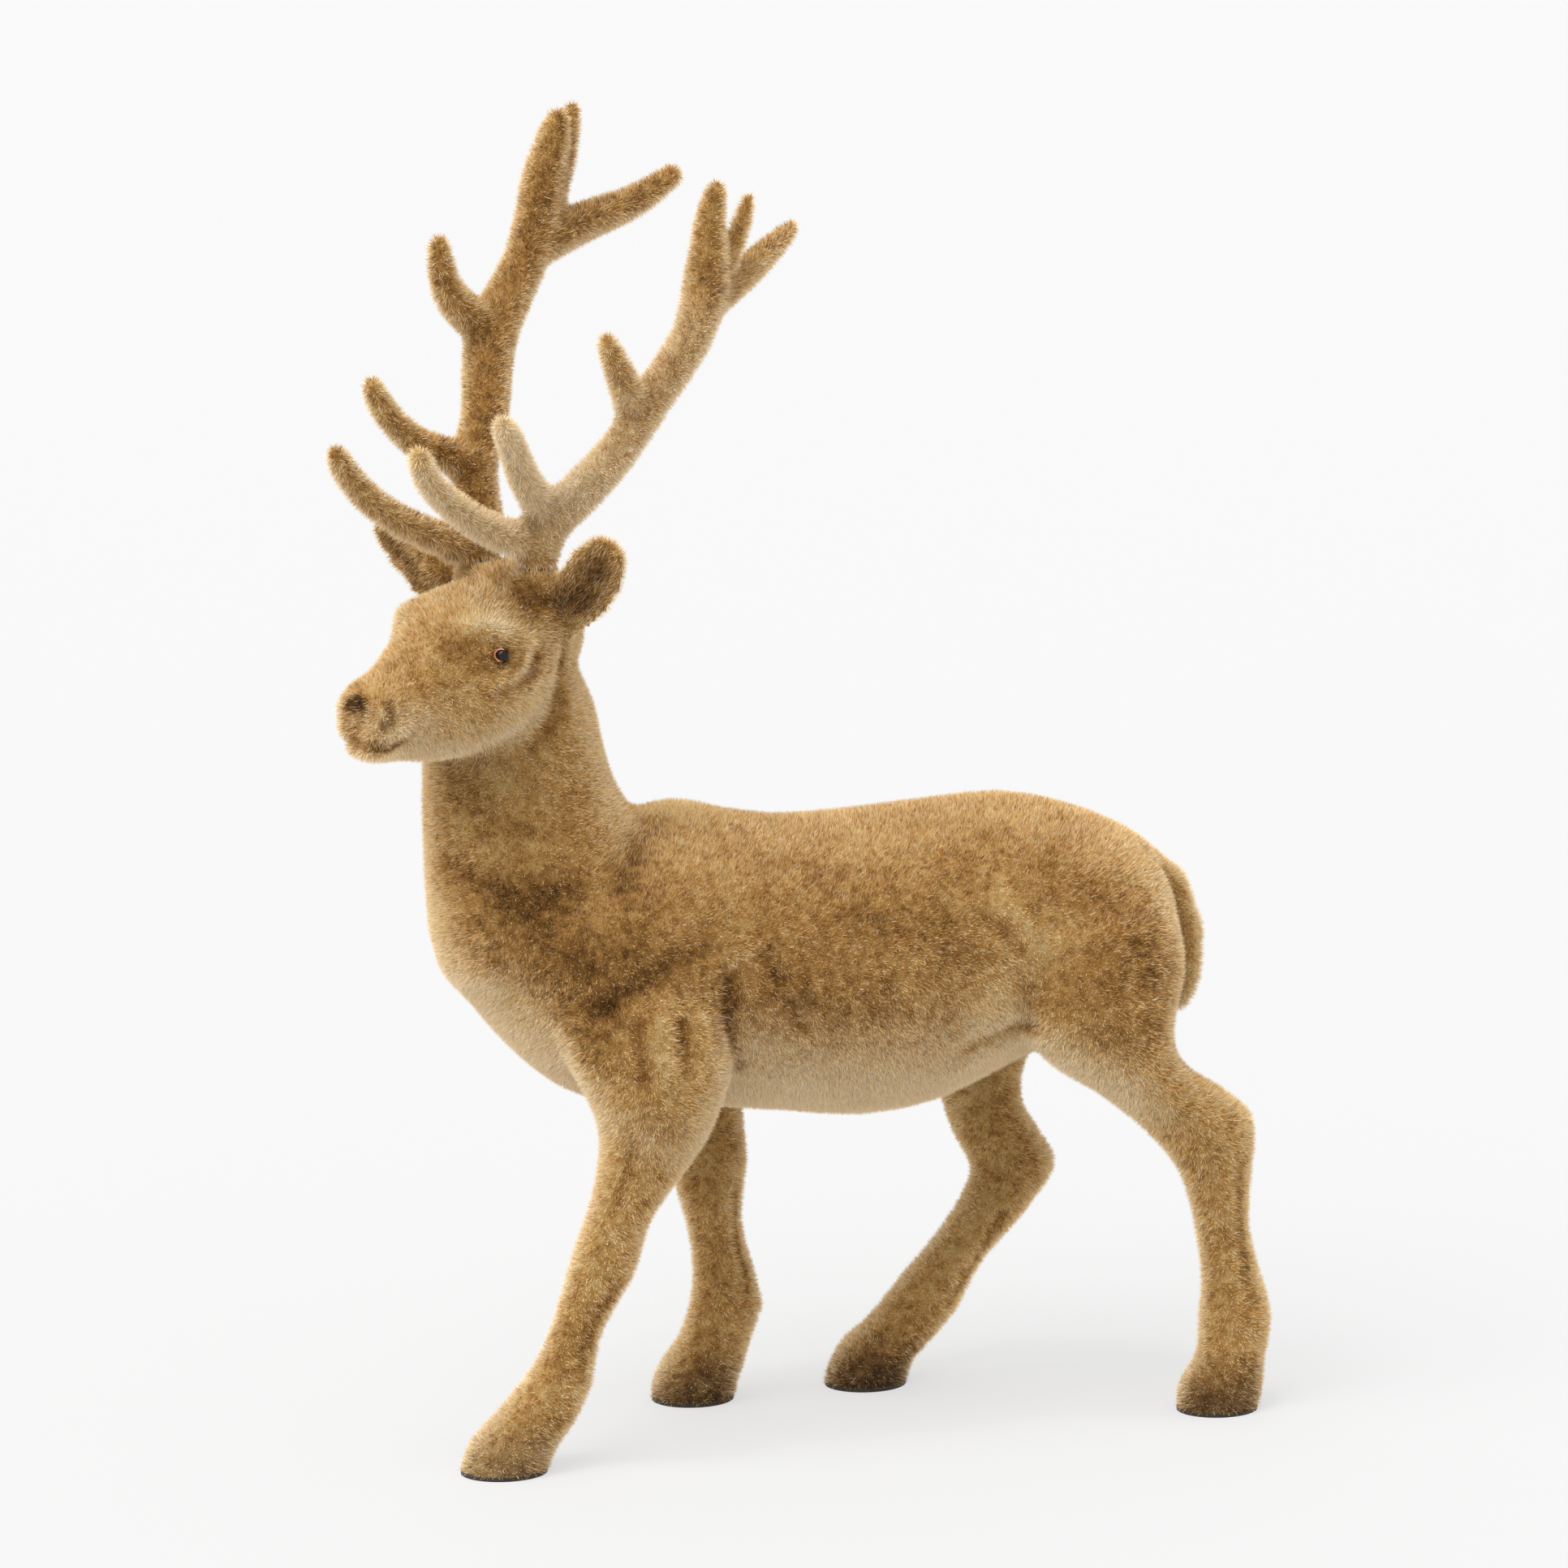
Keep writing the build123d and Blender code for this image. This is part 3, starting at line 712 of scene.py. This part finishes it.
# Where many fibres are cream: (reach, path), on the left antler's low tines and both sides of the face.
CREAM_PLACES = [
    (13, [(24, -77, 343), (27, -108, 332), (46, -136, 352)]),
    (12, [(24, -77, 343), (42, -106, 363), (49, -111, 371)]),
    (14, [(24, -62, 358), (16, -34, 394)]),
] + [(reach, along_head(path, side)) for side in (1, -1) for reach, path in [
    # A painted highlight on the brow ridge.
    (4, [(42, 20, 304), (32, 24, 301)]),
    (8, [(78, 10, 270), (64, 14, 268)]),
    (4, [(60, 12, 257), (40, 20, 256), (22, 22, 260), (14, 24, 268)]),
]]


# Painted rim light: the outline seen from this way is painted pale, as light through the fibres at an edge.
# It is fixed in the figure's frame, at the camera's azimuth.
RIM_LIGHT_WAY = head_way(0.74, 0.67, 0.0, 1)
BASE_TONE = 0.63
# Soft random changes of tone: strength, distance over which it changes, seed.
TONE_DRIFTS = [(0.18, 10, 21), (0.20, 26, 23), (0.42, 1.8, 22)]
LENGTH_SHEEN_TONE = 1.1               # painted sheen: how much paler a fibre is for each share of length it has more
ANTLER_SHADE = -0.12             # painted shade on the far, right antler, and the same darkening on the left one's upper half
HOOF_TONE, HOOF_GREY = -0.12, 0.55
EAR_TONE, EAR_GREY = -0.50, 0.40
# Painted bounce light: the belly, facing the floor, is painted paler and creamier.
BELLY_BOUNCE_TONE, BELLY_BOUNCE_CREAM = 0.40, 0.90
RIM_LIGHT_TONE, RIM_LIGHT_CREAM = 0.28, 0.50
PLACE_TONE, PLACE_CREAM = 0.12, 0.50
LONG_SHEEN_CREAM = 0.50
JAW_GREY = 0.20
LEAST_GREY = 0.05
LEG_TONE = 0.05
BODY_FORM_SHADING = 0.17           # painted light and shade: how much paler a swelling is, and darker a dip, for each millimetre
HEAD_FORM_SHADING = 0.08
BOUNCE_ON_NECK = 0.3             # share of the painted bounce light under the belly that the neck and head keep
RIM_LIGHT_ON_BACK = 0.35
# Heights between which an effect sets in.
HOOF_SPAN = (26, 2)
LEG_SPAN = (140, 110)
TRUNK_SPAN = (100, 125)
NECK_SPAN = (180, 240)
ANTLER_SPAN = (PEDICLE_TOP - 4, PEDICLE_TOP + 8)
UPPER_ANTLER_SPAN = (370, 410)
# The same for a normal's share of up, for how far it turns from the painted rim light's way, and for a
# fibre's length.
BELLY_BOUNCE_SPAN = (0.05, -0.85)
BACK_SPAN = (0.35, 0.85)
RIM_LIGHT_SPAN = (0.15, 0.75)
LONG_SHEEN_SPAN = (0.95, 1.08)


def antler_middle(side):
    return millimetres(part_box("antler_" + side)).mean(axis=0)


def on_right_antler(spots):
    """1 on the right antler, 0 elsewhere."""
    left, right = antler_middle("left"), antler_middle("right")
    nearer_right = (spots - (left + right) / 2) @ (right - left) > 0
    return nearer_right * smoothstep(*ANTLER_SPAN, spots[:, 2])


def flock_tone(spots, normal, length):
    """How pale each fibre is, from 0 to 1, and how likely it is to be grey or cream instead of gold.
    The longest fibres are the palest, a painted sheen, so the flock pales where it is seen from the side.
    Painted light and shade are in the tone too."""
    outer = spots + normal * PILE
    height, rise = spots[:, 2], normal[:, 2]
    tone = np.full(len(spots), BASE_TONE)
    for strength, distance, seed in TONE_DRIFTS:
        tone += strength * (noise(spots, distance, seed) - 0.5)
    # Painted sheen: longer fibres are paler.
    tone += LENGTH_SHEEN_TONE * (length - MIDDLE_LENGTH)
    # Painted shade on the far, right antler.
    tone += ANTLER_SHADE * np.maximum(on_right_antler(spots), smoothstep(*UPPER_ANTLER_SPAN, height))
    for change, reach, path in mirrored(BODY_SHADES) + LEG_SHADE_AND_TONE:
        tone += change * near(outer, path, reach)
    # Painted light on the swellings and painted shade in the dips and creases.
    for swell, reach, path in BODY_FORMS + LEG_FORMS:
        tone += BODY_FORM_SHADING * swell * near(outer, path, reach)
    hoof = smoothstep(*HOOF_SPAN, height)
    ears = inside_ears(spots, normal)
    grey = EAR_GREY * ears + HOOF_GREY * hoof + LEAST_GREY
    for side in (1, -1):
        for change, reach, path in HEAD_SHADES:
            tone += change * near(outer, along_head(path, side), reach)
        # Painted light and shade on the head's swellings and dips.
        for swell, reach, path in HEAD_FORMS:
            tone += HEAD_FORM_SHADING * swell * near(outer, along_head(path, side), reach)
        grey += JAW_GREY * near(outer, along_head(UNDER_JAW, side), UNDER_JAW_REACH)
    trunk = smoothstep(*TRUNK_SPAN, height)
    # Painted bounce light from the floor: where the skin faces down, the flock is paler and creamier.
    belly_bounce = smoothstep(*BELLY_BOUNCE_SPAN, rise) * trunk
    belly_bounce *= 1 - (1 - BOUNCE_ON_NECK) * smoothstep(*NECK_SPAN, height)
    back = smoothstep(*BACK_SPAN, rise) * trunk
    # Painted rim light: paler and creamier where the skin turns side-on to the camera's azimuth at rest,
    # less so on the back.
    rim_light = smoothstep(*RIM_LIGHT_SPAN, 1 - np.abs(normal @ RIM_LIGHT_WAY))
    rim_light *= 1 - (1 - RIM_LIGHT_ON_BACK) * back
    # Painted sheen: the longest fibres are creamier too.
    long_sheen = smoothstep(*LONG_SHEEN_SPAN, length)
    cream = (BELLY_BOUNCE_CREAM * belly_bounce + RIM_LIGHT_CREAM * rim_light + LONG_SHEEN_CREAM * long_sheen) * (1 - ears)
    for reach, path in CREAM_PLACES:
        cream += PLACE_CREAM * near(outer, path, reach)
        tone += PLACE_TONE * near(outer, path, reach)
    tone += HOOF_TONE * hoof + EAR_TONE * ears + BELLY_BOUNCE_TONE * belly_bounce
    tone += RIM_LIGHT_TONE * rim_light + LEG_TONE * smoothstep(*LEG_SPAN, height)
    return np.clip(tone, 0, PALEST), np.clip(grey, 0, 1), np.clip(cream, 0, 1)


def between(tones, share):
    """The colour at a share of the way along a row of tones, for many shares at once."""
    places = (np.arange(len(tones)) + 0.5) / len(tones)
    return np.stack([np.interp(share, places, channel) for channel in zip(*tones)], 1)


def paint(piece, points, quads):
    """Gives each point of the skin the colour of the fibres that grow there, painted light and shade
    included, darker as roots are.
    """
    normal = point_normals(points, quads)
    pale, grey, cream = flock_tone(points, normal, np.full(len(points), MIDDLE_LENGTH))
    grey, cream = grey[:, None], cream[:, None]
    colour = between(GOLD_TONES, pale) * (1 - grey) + between(GREY_TONES, pale) * grey
    colour = (colour * (1 - cream) + between(CREAM_TONES, pale) * cream) * ROOT_SHADE
    opaque = np.hstack([colour, np.ones((len(points), 1))])
    stored = piece.data.color_attributes.new(PAINT, "FLOAT_COLOR", "POINT")
    stored.data.foreach_set("color", opaque.astype(np.float32).ravel())


def bare(spots, normal):
    """True where no flock goes: the flat ends that an antler and its stump touch with, and the eyes."""
    flat = np.zeros(len(spots), bool)
    level = np.abs(normal[:, 2]) > FLAT_FACING
    for x, y in ANTLER_FEET.values():
        over_foot = np.hypot(spots[:, 0] - x, spots[:, 1] - y) < PEDICLE_RADIUS
        flat |= over_foot & (np.abs(spots[:, 2] - PEDICLE_TOP) < BARE_BAND) & level
    for side in (1, -1):
        flat |= np.linalg.norm(spots - along_head([EYE], side), axis=1) < EYE_CLEARING
    return flat


def fibre_blades(spots, normal, way, share, rng):
    """Each fibre as one thin triangle, from its root on the skin to its tip."""
    longer = 1 + EAR_LONGER * inside_ears(spots, normal)
    length = (FIBRE_LENGTH * share * longer)[:, None]
    width = FIBRE_WIDTH * rng.uniform(*WIDTH_SPREAD, len(spots))[:, None]
    across = np.cross(way, rng.normal(0, 1, spots.shape))
    across /= np.linalg.norm(across, axis=1, keepdims=True)
    root = spots - normal * ROOT_DEPTH
    return np.stack([root - across * width / 2, root + across * width / 2, root + way * length], 1)


def tone_numbers(pale, grey, cream, rng):
    """Each fibre's place in the list of tones: a gold one, or by chance a grey or a cream one."""
    number = (pale * len(GOLD_TONES)).astype(np.int32)
    is_grey = rng.random(len(pale)) < grey
    number[is_grey] = len(GOLD_TONES) + (pale[is_grey] * len(GREY_TONES)).astype(np.int32)
    is_cream = rng.random(len(pale)) < cream
    first_cream = len(GOLD_TONES) + len(GREY_TONES)
    number[is_cream] = first_cream + (pale[is_cream] * len(CREAM_TONES)).astype(np.int32)
    return number


def flock(name, points, quads, body, tones, seed):
    """The fibres on one skin, in pieces that ride on its body."""
    rng = np.random.default_rng(seed)
    spots, normal = scatter(points, quads, rng)
    kept = ~bare(spots, normal)
    spots, normal = spots[kept], normal[kept]
    way = nap(spots, normal, rng)
    share = rng.uniform(SHORTEST, LONGEST, len(spots))
    blades = fibre_blades(spots, normal, way, share, rng)
    pale, grey, cream = flock_tone(spots, normal, share)
    pale = np.clip(pale + rng.normal(0, TONE_JITTER, len(spots)), 0, PALEST)
    number = tone_numbers(pale, grey, cream, rng)
    clear = blades[:, 2, 2] > FLOOR_GAP
    order = np.argsort(spots[clear][:, 1], kind="stable")
    blades, number = blades[clear][order], number[clear][order]
    parts = math.ceil(len(blades) / MOST_FIBRES)
    for part, chosen in enumerate(np.array_split(np.arange(len(blades)), parts)):
        corners = blades[chosen].reshape(-1, 3)
        faces = np.arange(len(corners)).reshape(-1, 3)
        piece = new_object("%s_%d" % (name, part + 1), corners, faces, smooth=False)
        for material in tones:
            piece.data.materials.append(material)
        piece.data.polygons.foreach_set("material_index", number[chosen])
        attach(piece, body)


# Eyes ----------------------------------------------------------------------------------------
EYE_RADIUS = 2.4
EYE_LOOK = (0.4, 0.9, 0.0)      # shares forward, outwards and up
EYE_ROWS = 28
POLE_GAP = 0.001                # keeps the ball's ends just open
RIM_RADIUS = 2.0
RIM_THICKNESS = 0.27            # its own radius
RIM_ROWS = 14
RIM_AHEAD = 0.9                 # along the way it faces
RIM_LOOK = (0.73, 0.66, 0.15)
RIM_SHIFT = (0.6, -0.3, 0.15)   # from the ball's middle: forward, outwards, up


def turned(profile, start, axis, sides=48):
    """A surface of revolution around an axis, from rows of (radius, height along the axis)."""
    axis = np.asarray(axis, float) / np.linalg.norm(axis)
    across = np.cross(axis, UP)
    across /= np.linalg.norm(across)
    other = np.cross(axis, across)
    turn = np.linspace(0, 2 * math.pi, sides, endpoint=False)
    ring = np.outer(np.cos(turn), across) + np.outer(np.sin(turn), other)
    points = np.vstack([start + axis * height + ring * radius for radius, height in profile])
    this = np.arange(sides)
    following = (this + 1) % sides
    rows = [np.stack([this, following, following + sides, this + sides], 1) + row * sides
            for row in range(len(profile) - 1)]
    return points, np.vstack(rows)


def eye(side, glass, rim):
    """A glass bead with a thin coloured rim around the part that shows."""
    sign = 1 if side == "left" else -1
    middle = millimetres(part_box("eye_" + side)).mean(axis=0)
    angles = np.linspace(POLE_GAP, math.pi - POLE_GAP, EYE_ROWS)
    ball = [(EYE_RADIUS * math.sin(angle), EYE_RADIUS * math.cos(angle)) for angle in angles]
    bead = new_object("eye_bead_" + side, *turned(ball, middle, head_way(*EYE_LOOK, sign)))
    bead.data.materials.append(glass)
    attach(bead, "figure")
    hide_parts("eye_" + side)
    hoop = [(RIM_RADIUS + RIM_THICKNESS * math.cos(angle), RIM_AHEAD + RIM_THICKNESS * math.sin(angle))
            for angle in np.linspace(0, 2 * math.pi, RIM_ROWS)]
    rim_middle = middle + head_way(*RIM_SHIFT, sign)
    band = new_object("eye_rim_" + side, *turned(hoop, rim_middle, head_way(*RIM_LOOK, sign)))
    band.data.materials.append(rim)
    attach(band, "figure")


# Camera, floor and light ---------------------------------------------------------------------
LENS = 170                      # millimetres
SENSOR = 36
CAMERA_AZIMUTH = math.radians(72)
CAMERA_ELEVATION = math.radians(11)
CAMERA_DISTANCE = 2.6
CAMERA_TARGET = (15, 0, 235)
FARTHEST = 100
FLOOR_HALF = 30.0
FLOOR_GREY = 0.2
FLOOR_GLOW = 0.595
WORLD_LIGHT = 0.94


def add_camera():
    data = bpy.data.cameras.new("camera")
    data.lens = LENS
    data.sensor_width = SENSOR
    data.clip_end = FARTHEST
    camera = bpy.data.objects.new("camera", data)
    bpy.context.collection.objects.link(camera)
    level = math.cos(CAMERA_ELEVATION)
    away = Vector((math.sin(CAMERA_AZIMUTH) * level, -math.cos(CAMERA_AZIMUTH) * level,
                   math.sin(CAMERA_ELEVATION)))
    camera.location = Vector(metres(CAMERA_TARGET)) + away * CAMERA_DISTANCE
    camera.rotation_euler = away.to_track_quat("Z", "Y").to_euler()
    bpy.context.scene.camera = camera


def add_floor():
    """A wide pale floor that glows a little, so it stays as bright as the backdrop."""
    half = FLOOR_HALF / MM
    corners = np.array([(-half, -half, 0), (half, -half, 0), (half, half, 0), (-half, half, 0)])
    floor = new_object("floor", corners, np.array([[0, 1, 2, 3]]), smooth=False)
    pale = plain_material("floor_white", (FLOOR_GREY, FLOOR_GREY, FLOOR_GREY), 0.9, specular=0.1)
    shader = pale.node_tree.nodes["Principled BSDF"]
    shader.inputs["Emission Color"].default_value = (1, 1, 1, 1)
    shader.inputs["Emission Strength"].default_value = FLOOR_GLOW
    floor.data.materials.append(pale)


def add_sun(name, way, strength, angle):
    """A sun whose light comes from the given way and looks as wide as the angle, in degrees."""
    data = bpy.data.lights.new(name, "SUN")
    data.energy = strength
    data.angle = math.radians(angle)
    light = bpy.data.objects.new(name, data)
    light.rotation_euler = Vector(way).to_track_quat("Z", "Y").to_euler()
    bpy.context.collection.objects.link(light)


def add_world(strength):
    world = bpy.data.worlds.new("studio")
    world.use_nodes = True
    world.node_tree.nodes["Background"].inputs["Color"].default_value = (1, 1, 1, 1)
    world.node_tree.nodes["Background"].inputs["Strength"].default_value = strength
    bpy.context.scene.world = world


# Build ---------------------------------------------------------------------------------------
FIGURE_SEED = 1
ANTLER_SEEDS = {"left": 2, "right": 3}


def dress_frame(glass):
    """Finishes for the CAD nodes inside the figure, which show when it is taken apart."""
    dress(["rod", "stem"], drawn_steel())
    dress(["block", "dowel", "post", "peg"], softwood())
    dress(["sole"], pressed_felt())
    dress(["socket"], moulded_plastic())
    dress(["eye_left", "eye_right"], glass)


def add_figure(roots, tones):
    points, quads = figure_skin()
    figure = new_object("skin_figure", points, quads)
    figure.data.materials.append(roots)
    paint(figure, points, quads)
    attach(figure, "figure")
    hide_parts(*FIGURE_NODES)
    flock("flock_figure", points, quads, "figure", tones, FIGURE_SEED)


def add_antler(side, roots, tones):
    points, quads = antler_skin(side)
    antler = new_object("skin_antler_" + side, points, quads)
    antler.data.materials.append(roots)
    paint(antler, points, quads)
    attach(antler, side + "_antler")
    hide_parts("antler_" + side)
    flock("flock_antler_" + side, points, quads, side + "_antler", tones, ANTLER_SEEDS[side])


add_camera()
add_floor()
add_world(WORLD_LIGHT)
add_sun("key", (0.35, -0.75, 1.1), strength=2.3, angle=50)
add_sun("top", (0.1, -0.15, 1.0), strength=0.5, angle=7)
bpy.context.scene.view_settings.view_transform = "Standard"

roots = flock_roots()
tones = flock_tones()
glass = eye_glass()
rim = rim_enamel()
dress_frame(glass)
add_figure(roots, tones)
for side in ("left", "right"):
    add_antler(side, roots, tones)
for side in ("left", "right"):
    eye(side, glass, rim)
